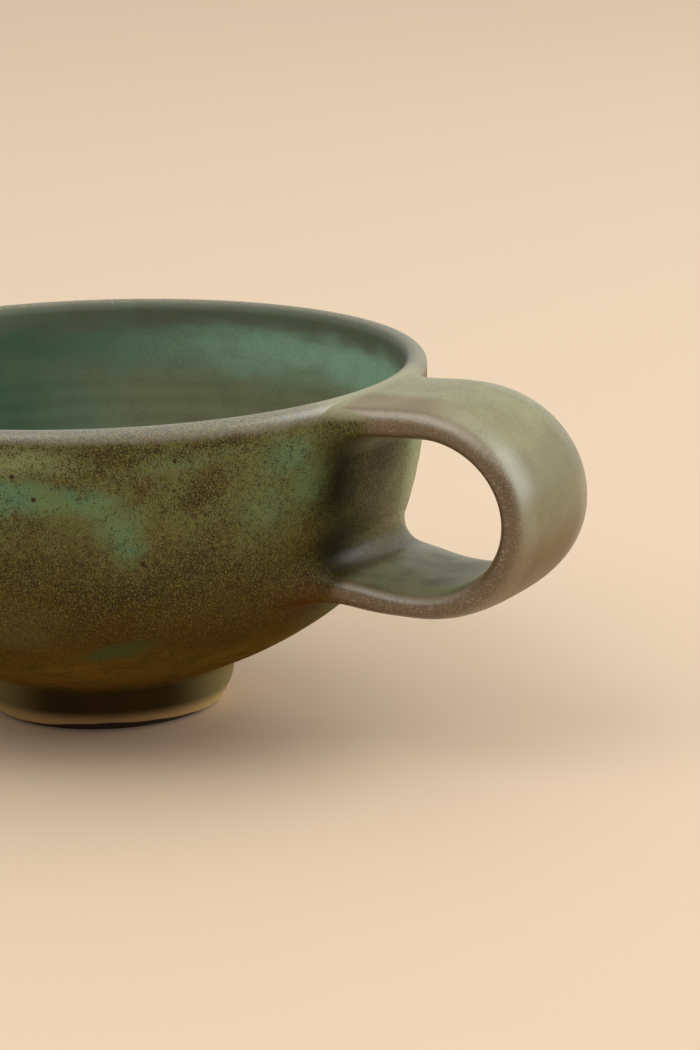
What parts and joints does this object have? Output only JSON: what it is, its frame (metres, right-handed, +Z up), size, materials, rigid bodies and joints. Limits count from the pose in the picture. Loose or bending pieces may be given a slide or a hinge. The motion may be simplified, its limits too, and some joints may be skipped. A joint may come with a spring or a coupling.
{
  "type": "stoneware cappuccino cup",
  "caption": "Wide stoneware cappuccino cup on a turned foot ring, with a pulled strap handle luted on at two roots, under mottled satin green and brown glaze.",
  "frame": {"origin": "centre of the foot ring on the cup's axis, at the surface that the cup stands on", "axes": "+Z up along the cup's axis, +X from the axis towards the handle"},
  "size_m": [0.1407, 0.11, 0.0585],
  "materials": {
    "stoneware": "fired stoneware clay, matt",
    "bare_foot": "bare fired stoneware, dark brown and matt",
    "slip": "fired slip, matt",
    "inner_glaze": "satin glaze, teal green clouding into olive brown",
    "outer_glaze": "satin glaze, olive brown with dark speckle and green clouds",
    "handle_glaze": "satin glaze, sage green breaking to brown on the edges"
  },
  "bodies": {
    "root": {"bowl": "stoneware", "foot_ring": "bare_foot", "handle": "stoneware", "upper_slip_joint": "slip", "lower_slip_joint": "slip", "inner_glaze": "inner_glaze", "outer_glaze": "outer_glaze", "handle_glaze": "handle_glaze"}
  },
  "joints": []
}
